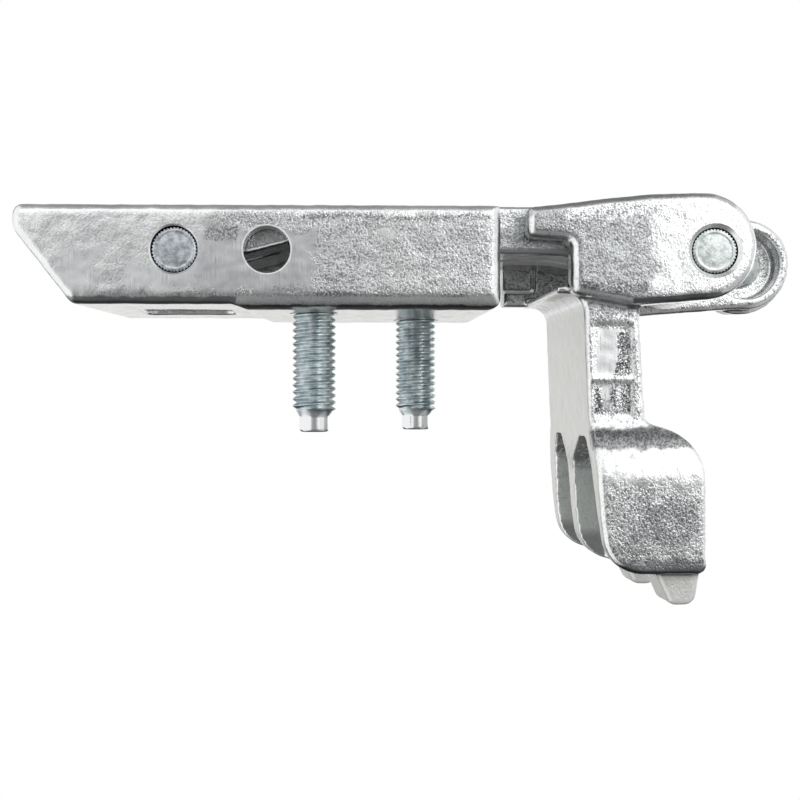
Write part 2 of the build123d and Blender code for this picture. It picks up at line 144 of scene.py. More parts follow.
# ---------------------------------------------------------------- node graphs
class Graph:
    """Short calls that add nodes to a node tree and join them."""

    def __init__(self, tree):
        self.tree = tree
        tree.nodes.clear()

    def add(self, kind, inputs=None, **properties):
        made = self.tree.nodes.new(kind)
        for name, value in properties.items():
            setattr(made, name, value)
        for key, value in (inputs or {}).items():
            self.feed(made.inputs[key], value)
        return made

    def feed(self, socket, value):
        if isinstance(value, bpy.types.NodeSocket):
            self.tree.links.new(value, socket)
        else:
            socket.default_value = value

    def math(self, operation, a, b=0.0, clamp=False):
        made = self.add("ShaderNodeMath", {0: a, 1: b}, operation=operation, use_clamp=clamp)
        return made.outputs[0]

    def times(self, *values):
        """The product of all values."""
        total = values[0]
        for value in values[1:]:
            total = self.math("MULTIPLY", total, value)
        return total

    def plus(self, a, b):
        return self.math("ADD", a, b)

    def without(self, value, share=1.0):
        """1 less the given share of value."""
        return self.math("SUBTRACT", 1.0, self.times(value, share))

    def step(self, value, start, end):
        """0 where value is under start, 1 where it is over end, and smooth between them."""
        made = self.add("ShaderNodeMapRange", {0: value, 1: start, 2: end}, interpolation_type="SMOOTHSTEP")
        return made.outputs[0]

    def band(self, value, start, end, soft):
        """1 between start and end, and 0 outside them."""
        rise = self.step(value, start - soft, start + soft)
        fall = self.step(value, end + soft, end - soft)
        return self.times(rise, fall)

    def grain(self, place, size, detail=2.0, roughness=0.5, distortion=0.0):
        """Noise from 0 to 1 with blobs of about the given size, in millimetres."""
        inputs = {"Vector": place, "Scale": 1 / (size * MM), "Detail": detail}
        made = self.add("ShaderNodeTexNoise", inputs)
        made.inputs["Roughness"].default_value = roughness
        made.inputs["Distortion"].default_value = distortion
        return made.outputs["Fac"]

    def ramp(self, value, *stops):
        """A grey that follows value through (position, grey) stops."""
        made = self.add("ShaderNodeValToRGB", {0: value})
        steps = made.color_ramp.elements
        while len(steps) < len(stops):
            steps.new(0.5)
        for step, (position, grey) in zip(steps, stops):
            step.position = position
            step.color = (grey, grey, grey, 1.0)
        return made.outputs[0]

    def mix(self, share, a, b):
        """a where share is 0, b where it is 1; each is a socket or an (r, g, b) tone."""
        made = self.add("ShaderNodeMix", {"Factor": share}, data_type="RGBA")
        for socket, tone in ((made.inputs[6], a), (made.inputs[7], b)):
            self.feed(socket, (*tone, 1.0) if isinstance(tone, tuple) else tone)
        return made.outputs[2]

    def stretched(self, place, x, y, z):
        """Place with each axis scaled, for streaks."""
        made = self.add("ShaderNodeVectorMath", {0: place, 1: (x, y, z)}, operation="MULTIPLY")
        return made.outputs[0]

    def bump(self, height, depth, strength, below=None):
        """A bump of the given depth in millimetres, on top of another bump."""
        made = self.add("ShaderNodeBump", {"Height": height, "Strength": strength, "Distance": depth * MM})
        if below is not None:
            self.feed(made.inputs["Normal"], below)
        return made.outputs[0]


def new_material(name):
    material = bpy.data.materials.new(name)
    material.use_nodes = True
    return material, Graph(material.node_tree)


def object_place(graph):
    """The surface point in metres, and its three coordinates in millimetres."""
    place = graph.add("ShaderNodeTexCoord").outputs["Object"]
    split = graph.add("ShaderNodeSeparateXYZ", {0: graph.stretched(place, 1 / MM, 1 / MM, 1 / MM)})
    return place, split.outputs[0], split.outputs[1], split.outputs[2]


def object_normal(graph):
    """The surface normal's three coordinates in the piece's own frame."""
    normal = graph.add("ShaderNodeTexCoord").outputs["Normal"]
    split = graph.add("ShaderNodeSeparateXYZ", {0: normal})
    return split.outputs[0], split.outputs[1], split.outputs[2]


def finish_metal(graph, color, roughness, normal, metallic=1.0):
    shader = graph.add("ShaderNodeBsdfPrincipled", {"Base Color": color, "Roughness": roughness})
    graph.feed(shader.inputs["Metallic"], metallic)
    graph.feed(shader.inputs["Normal"], normal)
    output = graph.add("ShaderNodeOutputMaterial")
    graph.tree.links.new(shader.outputs[0], output.inputs[0])


# ---------------------------------------------------------------- zinc plated castings
@dataclass
class Look:
    """How a casting's plate looks. A spot is (x from, x to, z from, z to, softness) on the near flank, and
    most kinds of spot have their strength as a sixth value."""

    light: tuple
    dark: tuple
    ground: tuple = ()  # filed, smooth spots, without a strength
    ground_tone: tuple = (0.70, 0.72, 0.74)
    smudges: tuple = ()  # dark speckled spots
    shade_spots: tuple = ()  # spots of painted shade
    shaded_slopes: tuple = ()  # spots of painted shade that also take in the sloping and rounded skin
    edges: tuple = ()  # painted shade on the rounded edges alone
    quiet: tuple = ()  # spots of weaker grain
    flank_y: float = -20.0  # the near flank lies in front of this
    coarse: float = 0.3  # strength of the larger bumps
    contrast: float = 1.0  # of the fine grain's tones
    calm: float = 0.0  # how much weaker the grain is towards the housing's nose
    painted_light: object = None  # makes the masks of painted highlights and painted shade, each with its tone, mixed in less metallic


class CastSkin:
    """The noises and masks, all from 0 to 1, that a casting's plate is mixed from, and the mixing."""

    def __init__(self, graph, look):
        self.graph = graph
        self.look = look
        self.place, self.x, self.y, self.z = object_place(graph)
        facing_x, facing_y, facing_z = object_normal(graph)
        self.wobble = graph.grain(self.place, 2.2, 4.0, 0.6)
        self.fine = graph.grain(graph.stretched(self.place, 1.15, 1.0, 0.95), 0.46, 2.0, 0.5, 0.7)
        self.medium = graph.grain(self.place, 1.5, 2.0, 0.5)
        self.broad = graph.grain(self.place, 9.0, 3.0, 0.6)
        self.scratches = graph.grain(graph.stretched(self.place, 1.0, 1.0, 0.035), 0.22, 3.0, 0.65)
        self.flat = graph.step(graph.math("ABSOLUTE", facing_y), 0.93, 0.985)
        self.in_front = graph.step(self.y, look.flank_y, look.flank_y - 1.0)
        self.near = graph.times(self.in_front, self.flat)
        self.under = graph.step(facing_z, -0.80, -0.97)
        self.leftward = graph.step(facing_x, -0.85, -0.96)
        self.filed = 0.0
        for spot in look.ground:
            self.filed = graph.math("MAXIMUM", self.filed, self.patch(spot))
        self.filed = graph.times(self.filed, self.near)
        self.grain_share = self.grain_strength()

    def patch(self, spot, wobble=None):
        """1 inside a spot, with a wandering border."""
        graph = self.graph
        x_from, x_to, z_from, z_to, soft = spot[:5]
        wobble = self.wobble if wobble is None else wobble
        shift = graph.times(graph.math("SUBTRACT", wobble, 0.5), SPOT_WOBBLE * soft)
        across = graph.band(graph.plus(self.x, shift), x_from, x_to, soft)
        along = graph.band(graph.plus(self.z, shift), z_from, z_to, soft)
        return graph.times(across, along)

    def grain_strength(self):
        graph = self.graph
        smooth_spots = graph.step(self.broad, 0.44, 0.62)
        on_flats = graph.plus(0.3, graph.times(self.flat, 0.7))
        to_nose = graph.step(self.x, -22.0, -32.0)
        share = graph.times(graph.without(smooth_spots, 0.15), graph.without(self.filed, 0.9), on_flats)
        share = graph.times(share, graph.without(to_nose, self.look.calm))
        for spot in self.look.quiet:
            faded = graph.times(self.patch(spot), self.near)
            share = graph.times(share, graph.without(faded, spot[5]))
        return share

    def normal(self):
        graph = self.graph
        coarse = graph.times(graph.without(self.filed, 0.9), self.look.coarse)
        normal = graph.bump(self.medium, 0.10, coarse)
        normal = graph.bump(self.fine, 0.11, self.grain_share, normal)
        return graph.bump(self.scratches, 0.025, graph.plus(0.06, self.filed), normal)

    def plate(self):
        """The plate's tone with its grain and its filed spots, with painted shade on its undersides and left
        faces.
        """
        graph = self.graph
        look = self.look
        color = graph.mix(graph.step(self.broad, 0.35, 0.65), look.dark, look.light)
        hollows = graph.times(graph.step(self.fine, 0.49, 0.38), self.grain_share, 0.58 * look.contrast)
        color = graph.mix(hollows, color, HOLLOW_TONE)
        crests = graph.times(graph.step(self.fine, 0.54, 0.63), self.grain_share, 0.45 * look.contrast)
        color = graph.mix(crests, color, CREST_TONE)

        color = graph.mix(graph.times(self.filed, 0.7), color, look.ground_tone)
        worked = graph.times(self.filed, graph.step(self.medium, 0.42, 0.60))
        streaks = graph.times(graph.step(self.scratches, 0.54, 0.62), worked, 0.75)
        color = graph.mix(streaks, color, CREST_TONE)
        grooves = graph.times(graph.step(self.scratches, 0.44, 0.34), worked, 0.5)
        color = graph.mix(grooves, color, GROOVE_TONE)

        # painted shade on downward and leftward faces
        color = graph.mix(graph.times(self.under, 0.8), color, UNDER_SHADE_TONE)
        color = graph.mix(graph.times(self.leftward, 0.85), color, LEFTWARD_SHADE_TONE)
        wear = graph.times(graph.step(self.scratches, 0.42, 0.30), self.leftward, 0.5)
        return graph.mix(wear, color, WEAR_TONE)

    def shaded(self, color):
        """The color with the look's painted shade in spots, on slopes and on rounded edges, and its dark
        smudges on it.
        """
        graph = self.graph
        look = self.look
        # painted shade in the look's spots on the near flank
        for spot in look.shade_spots:
            shade = graph.times(self.patch(spot), self.near, spot[5])
            color = graph.mix(shade, color, SHADE_SPOT_TONE)

        # painted shade on the sloping and rounded skin, with some grain in it
        slope_grain = graph.plus(0.7, graph.times(graph.step(self.fine, 0.58, 0.42), 0.3))
        for spot in look.shaded_slopes:
            shade = graph.times(self.patch(spot), self.in_front, slope_grain, spot[5])
            color = graph.mix(shade, color, SLOPE_SHADE_TONE)

        # painted shade along the rounded edges near the front
        edge = graph.without(graph.math("MAXIMUM", self.flat, self.under))
        edge = graph.times(edge, graph.step(self.y, look.flank_y + 2.0, look.flank_y + 1.0))
        for spot in look.edges:
            shade = graph.times(self.patch(spot), edge, spot[5])
            color = graph.mix(shade, color, EDGE_SHADE_TONE)

        speckle = graph.grain(self.place, 0.34, 2.0, 0.6)
        for spot in look.smudges:
            dirt = graph.plus(speckle, graph.times(self.patch(spot, self.broad), 0.35))
            dirt = graph.times(graph.step(dirt, 0.70, 0.96), self.near, spot[5])
            color = graph.mix(dirt, color, DIRT_TONE)
        return color

    def roughness(self):
        graph = self.graph
        roughness = graph.plus(0.17, graph.times(self.broad, 0.16))
        roughness = graph.plus(roughness, graph.times(self.filed, 0.12))
        return graph.math("SUBTRACT", roughness, graph.times(self.under, 0.08))


def cast_zinc(name, look):
    """Zinc plate over a rough casting, as a Look says."""
    material, graph = new_material(name)
    skin = CastSkin(graph, look)
    color = skin.shaded(skin.plate())
    metallic = 1.0
    # painted highlights and painted shade from the look, mixed in and made less metallic
    if look.painted_light:
        for mask, tone in look.painted_light(skin):
            color = graph.mix(graph.times(mask, 0.85), color, tone)
            metallic = graph.math("SUBTRACT", metallic, graph.times(mask, 0.75), clamp=True)
    finish_metal(graph, color, skin.roughness(), skin.normal(), metallic)
    return material


def housing_rim_highlight(skin):
    """A painted highlight round the rim of the access hole."""
    graph = skin.graph
    pin = axis_of("housing_pin", 1)[0] / MM
    across = graph.math("SUBTRACT", skin.x, pin.x + ACCESS_HOLE_OFFSET)
    along = graph.math("SUBTRACT", skin.z, pin.z)
    away = graph.math("SQRT", graph.plus(graph.times(across, across), graph.times(along, along)))
    # painted highlight: a bright, less metallic ring at the hole's edge
    rim = graph.band(away, BORE_RADIUS, BORE_RADIUS + HOLE_RIM_HIGHLIGHT, 0.03)
    rim = graph.times(rim, graph.step(skin.y, -21.2, -21.4))
    return [(rim, (0.98, 0.98, 0.98))]


def housing_material():
    look = Look(
        light=(0.94, 0.95, 0.95),
        dark=(0.81, 0.82, 0.83),
        ground=(
            (-30.0, -10.0, 3.0, 13.4, 1.1),
            (-54.0, -48.0, 3.0, 10.5, 1.6),
            (-43.0, -30.0, 3.6, 8.0, 1.0),
        ),
        smudges=(
            (-28.6, -23.0, 12.2, 14.6, 0.5, 0.7),
            (-41.0, -29.0, 1.6, 3.4, 0.9, 0.4),
            (-26.0, -14.0, 14.8, 17.0, 0.8, 0.25),
            (-12.0, 21.0, 15.6, 16.8, 0.5, 0.7),
            (-18.0, -8.0, 2.4, 4.0, 0.9, 0.5),
            (-10.0, 21.5, 1.6, 2.8, 0.5, 0.7),
        ),
        shade_spots=(
            (-30.0, 24.0, -1.0, 16.8, 1.5, 0.30),
            (-10.0, 24.0, 9.0, 16.0, 3.0, 0.10),
        ),
        edges=(
            (-60.0, -23.6, 0.0, 2.3, 0.25, 0.75),
            (-23.6, 26.0, -1.0, 0.8, 0.15, 0.85),
        ),
        calm=0.6,
        painted_light=housing_rim_highlight,
    )
    return cast_zinc("zinc_housing", look)


def bracket_foot_light_and_shade(skin):
    """Painted shade in the foot's pockets, darker still at their tops and bottoms, and painted light on the
    toes under it.
    """
    graph = skin.graph
    inside = graph.times(skin.flat, graph.step(skin.y, -17.8, -17.2))
    pockets = graph.times(inside, graph.step(skin.z, -24.5, -29.0))
    speckle = graph.grain(skin.place, 0.8, 3.0, 0.6)
    tops = graph.times(graph.band(skin.x, 39.6, 54.0, 0.4), graph.band(skin.y, -17.0, 19.5, 0.3))
    tops = graph.times(tops, graph.step(skin.z, -30.0, -26.5), graph.step(skin.z, -22.0, -22.8))
    tops = graph.times(tops, graph.step(speckle, 0.66, 0.48))
    bottoms = graph.times(inside, graph.step(skin.z, -39.0, -42.5))
    toes = graph.step(skin.z, -46.6, -47.4)
    # painted shade in the pockets, near-black at their tops, and painted light on the toes
    return [
        (pockets, (0.64, 0.68, 0.65)),
        (tops, (0.10, 0.10, 0.10)),
        (bottoms, (0.20, 0.21, 0.21)),
        (toes, (0.78, 0.78, 0.75)),
    ]


def bracket_material():
    look = Look(
        light=(0.93, 0.94, 0.94),
        dark=(0.82, 0.83, 0.84),
        ground=(
            (40.3, 44.0, -11.3, -3.2, 0.3),
            (41.5, 43.2, -17.5, -13.0, 0.3),
        ),
        ground_tone=(0.86, 0.87, 0.88),
        smudges=(
            (36.0, 49.0, 3.0, 5.0, 0.6, 0.8),
            (43.8, 46.6, -11.4, -3.6, 0.4, 0.95),
            (39.7, 41.4, -18.6, -13.0, 0.4, 0.95),
            (42.8, 44.2, -17.4, -12.8, 0.3, 0.95),
            (44.8, 46.6, -18.0, -12.8, 0.3, 0.95),
            (43.0, 57.0, -43.0, -32.0, 2.5, 0.6),
            (38.2, 38.9, -19.0, -1.5, 0.15, 0.9),
            (39.7, 46.5, -18.6, -15.5, 0.5, 0.5),
        ),
        shade_spots=(
            (27.0, 34.4, 12.0, 18.0, 0.8, 0.65),
            (34.0, 50.0, 1.0, 16.5, 1.5, 0.58),
            (40.0, 60.0, -50.0, -32.0, 1.5, 0.06),
            (40.0, 60.0, -48.0, -43.9, 0.35, 0.8),
            (51.5, 60.0, -48.0, -43.7, 0.35, 0.7),
            (37.5, 47.5, -0.8, 3.2, 0.5, 0.45),
        ),
        shaded_slopes=((38.0, 60.0, -24.4, -20.8, 0.5, 0.97),),
        edges=(
            (40.0, 60.0, -48.0, -44.8, 0.3, 0.95),
            (46.0, 66.0, -0.5, 3.2, 0.3, 0.85),
            (27.0, 64.0, 16.5, 23.0, 0.3, 0.45),
        ),
        quiet=(
            (38.0, 62.0, -30.8, -24.0, 0.9, 0.6),
            (49.0, 70.0, 0.0, 23.0, 1.5, 0.4),
        ),
        flank_y=-16.0,
        coarse=0.4,
        contrast=1.35,
        painted_light=bracket_foot_light_and_shade,
    )
    return cast_zinc("zinc_bracket", look)


def link_underside_light_and_shade(skin):
    """Painted shade on the neck's underside over the gap between the housing and the bracket, with a painted
    highlight along its middle.
    """
    graph = skin.graph
    below = graph.times(graph.band(skin.x, 12.0, 42.0, 2.0), graph.step(skin.z, 11.8, 10.9))
    middle = graph.times(below, graph.band(skin.y, -12.6, 4.0, 0.5))
    # below is painted shade, middle a painted highlight
    return [(below, (0.24, 0.25, 0.25)), (middle, (0.98, 0.98, 0.98))]


def link_material():
    look = Look(
        light=(0.84, 0.86, 0.87),
        dark=(0.62, 0.64, 0.66),
        shade_spots=(
            (20.0, 40.0, 9.0, 15.0, 1.2, 0.55),
            (-30.0, -10.0, 8.0, 20.0, 1.0, 0.5),
        ),
        flank_y=-14.5,
        painted_light=link_underside_light_and_shade,
    )
    return cast_zinc("zinc_link", look)


# ---------------------------------------------------------------- other materials
def stud_material():
    """Bluish zinc, with a bright turned dog point."""
    material, graph = new_material("zinc_stud")
    place, _, _, z = object_place(graph)
    blotch = graph.grain(place, 2.2, 3.0, 0.6)
    fine = graph.grain(place, 0.3, 2.0, 0.6)
    plate = graph.mix(graph.step(blotch, 0.35, 0.65), (0.44, 0.52, 0.55), (0.75, 0.80, 0.81))
    tip = graph.step(z, -18.2, -19.0)
    color = graph.mix(tip, plate, (0.84, 0.85, 0.86))
    roughness = graph.math("SUBTRACT", 0.30, graph.times(tip, 0.16))
    finish_metal(graph, color, roughness, graph.bump(fine, 0.02, 0.4))
    return material


def pin_material(name, light, dark):
    """Blotchy zinc with bright flecks."""
    material, graph = new_material(name)
    place = object_place(graph)[0]
    blotch = graph.grain(place, 1.4, 4.0, 0.65)
    fine = graph.grain(place, 0.35, 3.0, 0.6)
    color = graph.mix(graph.step(blotch, 0.38, 0.60), dark, light)
    flecks = graph.step(graph.grain(place, 0.5, 3.0, 0.7), 0.62, 0.7)
    color = graph.mix(graph.times(flecks, 0.5), color, (0.95, 0.96, 0.97))
    roughness = graph.plus(0.28, graph.times(blotch, 0.2))
    normal = graph.bump(blotch, 0.12, 0.6)
    finish_metal(graph, color, roughness, graph.bump(fine, 0.03, 0.5, normal))
    return material


def bronze_material():
    material, graph = new_material("bronze_bush")
    place = object_place(graph)[0]
    blotch = graph.grain(place, 1.8, 4.0, 0.6)
    turning_marks = graph.grain(graph.stretched(place, 0.2, 6.0, 0.2), 0.5, 2.0)
    color = graph.mix(blotch, (0.42, 0.29, 0.13), (0.78, 0.60, 0.34))
    roughness = graph.plus(0.25, graph.times(blotch, 0.25))
    finish_metal(graph, color, roughness, graph.bump(turning_marks, 0.02, 0.4))
    return material


def rubber_material():
    material, graph = new_material("black_rubber")
    place = object_place(graph)[0]
    dust = graph.grain(place, 1.5, 4.0, 0.6)
    fine = graph.grain(place, 0.2, 2.0)
    color = graph.mix(dust, (0.012, 0.012, 0.012), (0.045, 0.044, 0.042))
    roughness = graph.plus(0.62, graph.times(dust, 0.2))
    finish_metal(graph, color, roughness, graph.bump(fine, 0.03, 0.5), metallic=0.0)
    return material


# ---------------------------------------------------------------- castings
def add_object(name, mesh, material):
    mesh.name = name
    mesh.materials.clear()
    mesh.materials.append(material)
    piece = bpy.data.objects.new(name, mesh)
    bpy.context.scene.collection.objects.link(piece)
    return piece


def evaluated_mesh(piece):
    """The piece's mesh with its modifiers applied."""
    shown = piece.evaluated_get(bpy.context.evaluated_depsgraph_get())
    mesh = bpy.data.meshes.new_from_object(shown)
    piece.modifiers.clear()
    return mesh


def casting(node, name, material, body, axes, bores=()):
    """Stands for a cast CAD node: a re-meshed copy with soft edges and a lumpy skin.
    axes lists the (x, z) of the axes where the skin stays true, so that the pins keep their fit. bores lists
    the (x, z, mouth) of those in the near wall that are drilled anew, for a crisp rim."""
    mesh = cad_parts[node].data.copy()
    near_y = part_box("housing")[0][1] / MM
    plug_bores(mesh, bores, near_y)
    piece = add_object(name, mesh, material)
    remesh = piece.modifiers.new("remesh", "REMESH")
    remesh.mode = "VOXEL"
    remesh.voxel_size = CAST_VOXEL * MM
    smooth = piece.modifiers.new("smooth", "SMOOTH")
    smooth.factor = 0.5
    smooth.iterations = CAST_SMOOTH_STEPS
    piece.data = evaluated_mesh(piece)
    lump(piece.data, axes)
    for x, z, mouth in bores:
        drill(piece, x, z, near_y, mouth)
    cast = piece.data
    cast.name = name
    cast.shade_smooth()
    mark_rims(cast, bores)
    cast.materials.clear()
    cast.materials.append(material)
    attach(piece, body)
    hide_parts(node)


def plug_bores(mesh, bores, near_y):
    """Welds the mesh and fills its near bores with overlapping plugs, which the re-meshing merges."""
    welded = bmesh.new()
    welded.from_mesh(mesh)
    bmesh.ops.remove_doubles(welded, verts=welded.verts, dist=WELD * MM)
    turn = Matrix.Rotation(math.pi / 2, 4, "X")
    for x, z, mouth in bores:
        place = Matrix.Translation(Vector((x, near_y + WALL / 2, z)) * MM)
        size = (BORE_RADIUS + mouth + PLUG_MARGIN) * MM
        bmesh.ops.create_cone(
            welded,
            cap_ends=True,
            segments=PLUG_SEGMENTS,
            radius1=size,
            radius2=size,
            depth=WALL * MM,
            matrix=place @ turn,
        )
    welded.to_mesh(mesh)
    welded.free()


def drill(piece, x, z, near_y, mouth):
    """Cuts a bore with a chamfered mouth through the near wall."""
    rows = [
        (near_y - 1.0, BORE_RADIUS + mouth + 1.0),
        (near_y + mouth, BORE_RADIUS),
        (near_y + WALL + 0.8, BORE_RADIUS),
    ]
    cutter = turned("cutter", Vector((x, 0.0, z)) * MM, 1, rows, BORE_SEGMENTS, piece.data.materials[0])
    cut = piece.modifiers.new("bore", "BOOLEAN")
    cut.operation = "DIFFERENCE"
    cut.object = cutter
    piece.data = evaluated_mesh(piece)
    bpy.data.objects.remove(cutter)


def mark_rims(mesh, bores):
    """Keeps the shading crisp at the drilled bores' rims."""
    shape = bmesh.new()
    shape.from_mesh(mesh)
    for edge in shape.edges:
        if len(edge.link_faces) != 2 or edge.calc_face_angle() < RIM_ANGLE:
            continue
        spot = (edge.verts[0].co + edge.verts[1].co) / (2 * MM)
        for x, z, mouth in bores:
            if math.hypot(spot.x - x, spot.z - z) < BORE_RADIUS + mouth + PLUG_MARGIN:
                edge.smooth = False
    shape.to_mesh(mesh)
    shape.free()


def lump(mesh, axes):
    """Sinks the skin by an uneven amount along its normals, and leaves it alone around the axes."""
    count = len(mesh.vertices)
    places = np.empty(count * 3)
    normals = np.empty(count * 3)
    mesh.vertices.foreach_get("co", places)
    mesh.vertices.foreach_get("normal", normals)
    places = places.reshape(-1, 3)
    normals = normals.reshape(-1, 3)
    depth = np.empty(count)
    for index, place in enumerate(places / MM):
        point = Vector(place)
        large = noise.noise(point / LUMP_SIZE)
        small = noise.noise(point / SMALL_LUMP_SIZE + Vector((7, 3, 5)))
        depth[index] = 0.65 * large + 0.35 * small
    depth = np.clip(0.5 + 0.9 * depth, 0.0, 1.0)
    for x, z in axes:
        away = np.hypot(places[:, 0] / MM - x, places[:, 2] / MM - z)
        depth *= np.clip((away - TRUE_RADIUS) / TRUE_FADE, 0.0, 1.0)
    moved = places - normals * (depth * LUMP_DEPTH * MM)[:, None]
    mesh.vertices.foreach_set("co", moved.ravel())
    mesh.update()


# ---------------------------------------------------------------- turned pieces
def turned(name, centre, along, rows, segments, material):
    """A closed turned piece. rows lists (distance along the axis, radius) in millimetres from end to end,
    where a radius may be a function of the angle. along is 1 for an axis on Y, or 2 for one on Z."""
    mesh = bmesh.new()
    sides = [axis for axis in (0, 1, 2) if axis != along]
    rings = []
    for distance, radius in rows:
        ring = []
        for step in range(segments):
            angle = 2 * math.pi * step / segments
            size = radius(angle) if callable(radius) else radius
            point = [0.0, 0.0, 0.0]
            point[along] = distance
            point[sides[0]] = size * math.cos(angle)
            point[sides[1]] = size * math.sin(angle)
            ring.append(mesh.verts.new(centre + Vector(point) * MM))
        rings.append(ring)
    for first, second in zip(rings, rings[1:]):
        for step in range(segments):
            after = (step + 1) % segments
            mesh.faces.new((first[step], first[after], second[after], second[step]))
    for ring in (rings[0], rings[-1]):
        middle = sum((vertex.co for vertex in ring), Vector()) / segments
        hub = mesh.verts.new(middle)
        for step in range(segments):
            mesh.faces.new((ring[step], ring[(step + 1) % segments], hub))
    bmesh.ops.recalc_face_normals(mesh, faces=mesh.faces)
    data = bpy.data.meshes.new(name)
    mesh.to_mesh(data)
    mesh.free()
    data.shade_smooth()
    data.set_sharp_from_angle(angle=SHARP_ANGLE)
    return add_object(name, data, material)


def axis_of(node, along):
    """The centre of a turned CAD node with the axis' own coordinate at 0, and where its ends lie in
    millimetres."""
    low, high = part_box(node)
    centre = (low + high) / 2
    centre[along] = 0.0
    return centre, low[along] / MM, high[along] / MM


# ---------------------------------------------------------------- studs
def thread_radius(z):
    """The radius of a right-handed thread as a function of the angle at height z, in millimetres."""

    def radius(angle):
        phase = (z / THREAD_PITCH - angle / (2 * math.pi)) % 1.0
        rise = abs(2 * phase - 1)
        flank = min(1.0, max(0.0, (rise - 0.12) / 0.72))
        return THREAD_ROOT + (THREAD_CREST - THREAD_ROOT) * flank

    return radius


def stud(node, name, material):
    """An M8 stud: a low round head and a shank in the housing's floor, a rolled thread and a dog point."""
    centre, tip_z, head_z = axis_of(node, 2)
    shoulder_z = tip_z + DOG_POINT_LENGTH
    thread_end = shoulder_z + THREAD_CREST - DOG_POINT_RADIUS
    floor_z = head_z - STUD_HEAD_HEIGHT
    rows = [
        (tip_z, 1.0),
        (tip_z, DOG_POINT_RADIUS - 0.45),
        (tip_z + 0.12, DOG_POINT_RADIUS - 0.2),
        (tip_z + 0.4, DOG_POINT_RADIUS),
        (tip_z + 0.55, DOG_POINT_RADIUS),
        (shoulder_z - 0.3, DOG_POINT_RADIUS),
        (shoulder_z - 0.15, DOG_POINT_RADIUS),
        (shoulder_z, DOG_POINT_RADIUS + 0.05),
        (thread_end - 0.35, THREAD_ROOT),
    ]
    count = int((-0.1 - thread_end) / THREAD_PITCH * THREAD_ROWS)
    for step in range(count + 1):
        z = thread_end + step * THREAD_PITCH / THREAD_ROWS
        rows.append((z, thread_radius(z)))
    rows += [
        (0.0, THREAD_ROOT),
        (0.0, STUD_SHANK_RADIUS - 0.1),
        (floor_z, STUD_SHANK_RADIUS),
        (floor_z, STUD_HEAD_RADIUS - 0.1),
        (floor_z + 0.2, STUD_HEAD_RADIUS),
        (head_z - 0.8, STUD_HEAD_RADIUS),
        (head_z - 0.25, STUD_HEAD_RADIUS - 0.25),
        (head_z, STUD_HEAD_RADIUS - 0.8),
        (head_z, 1.0),
    ]
    piece = turned(name, centre, 2, rows, STUD_SEGMENTS, material)
    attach(piece, "housing")
    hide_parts(node)


# ---------------------------------------------------------------- pins
def knurl_radius(peak):
    """The radius of a straight knurl as a function of the angle, with teeth up to peak."""

    def radius(angle):
        wave = 0.5 + 0.5 * math.cos(KNURL_TEETH * angle)
        return KNURL_VALLEY + (peak - KNURL_VALLEY) * wave

    return radius


def hinge_pin(node, name, material, body):
    """A hinge pin with an upset face and a knurl at the near end, and a plain far end."""
    centre, near_y, far_y = axis_of(node, 1)
    knurl_end = near_y + KNURL_LENGTH
    rows = [
        (near_y - 0.04, 0.6),
        (near_y - 0.03, 1.6),
        (near_y + 0.02, 2.6),
        (near_y + 0.06, 2.95),
        (near_y + 0.06, 3.1),
        (near_y, 3.3),
        (near_y, 3.45),
        (near_y + 0.05, KNURL_VALLEY - 0.08),
        (near_y + 0.09, knurl_radius(KNURL_PEAK - 0.2)),
        (near_y + 0.35, knurl_radius(KNURL_PEAK - 0.04)),
        (near_y + 0.55, knurl_radius(KNURL_PEAK - 0.04)),
        (knurl_end - 0.5, knurl_radius(KNURL_PEAK - 0.04)),
        (knurl_end, PIN_RADIUS - 0.02),
        (far_y - 0.6, PIN_RADIUS - 0.02),
        (far_y - 0.2, PIN_RADIUS - 0.2),
        (far_y, PIN_RADIUS - 0.6),
        (far_y, 1.0),
    ]
    piece = turned(name, centre, 1, rows, KNURL_TEETH * 6, material)
    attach(piece, body)
    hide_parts(node)


def uneven_radius(size):
    """A radius that wanders a little round the turn."""

    def radius(angle):
        return size * (1 + 0.12 * noise.noise(Vector((math.cos(angle), math.sin(angle), size)) * 1.7))

    return radius


def stop_pin(node, name, material):
    """The short pin in the far ear's pocket, with an uneven upset end."""
    centre, near_y, far_y = axis_of(node, 1)
    rows = [
        (near_y + 0.15, uneven_radius(0.7)),
        (near_y, uneven_radius(1.6)),
        (near_y + 0.1, uneven_radius(2.4)),
        (near_y + 0.45, uneven_radius(3.1)),
        (near_y + 0.5, PIN_RADIUS - 0.5),
        (near_y + 0.7, PIN_RADIUS),
        (far_y - 0.5, PIN_RADIUS),
        (far_y, PIN_RADIUS - 0.4),
        (far_y, 1.0),
    ]
    piece = turned(name, centre, 1, rows, STOP_PIN_SEGMENTS, material)
    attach(piece, "bracket")
    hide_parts(node)


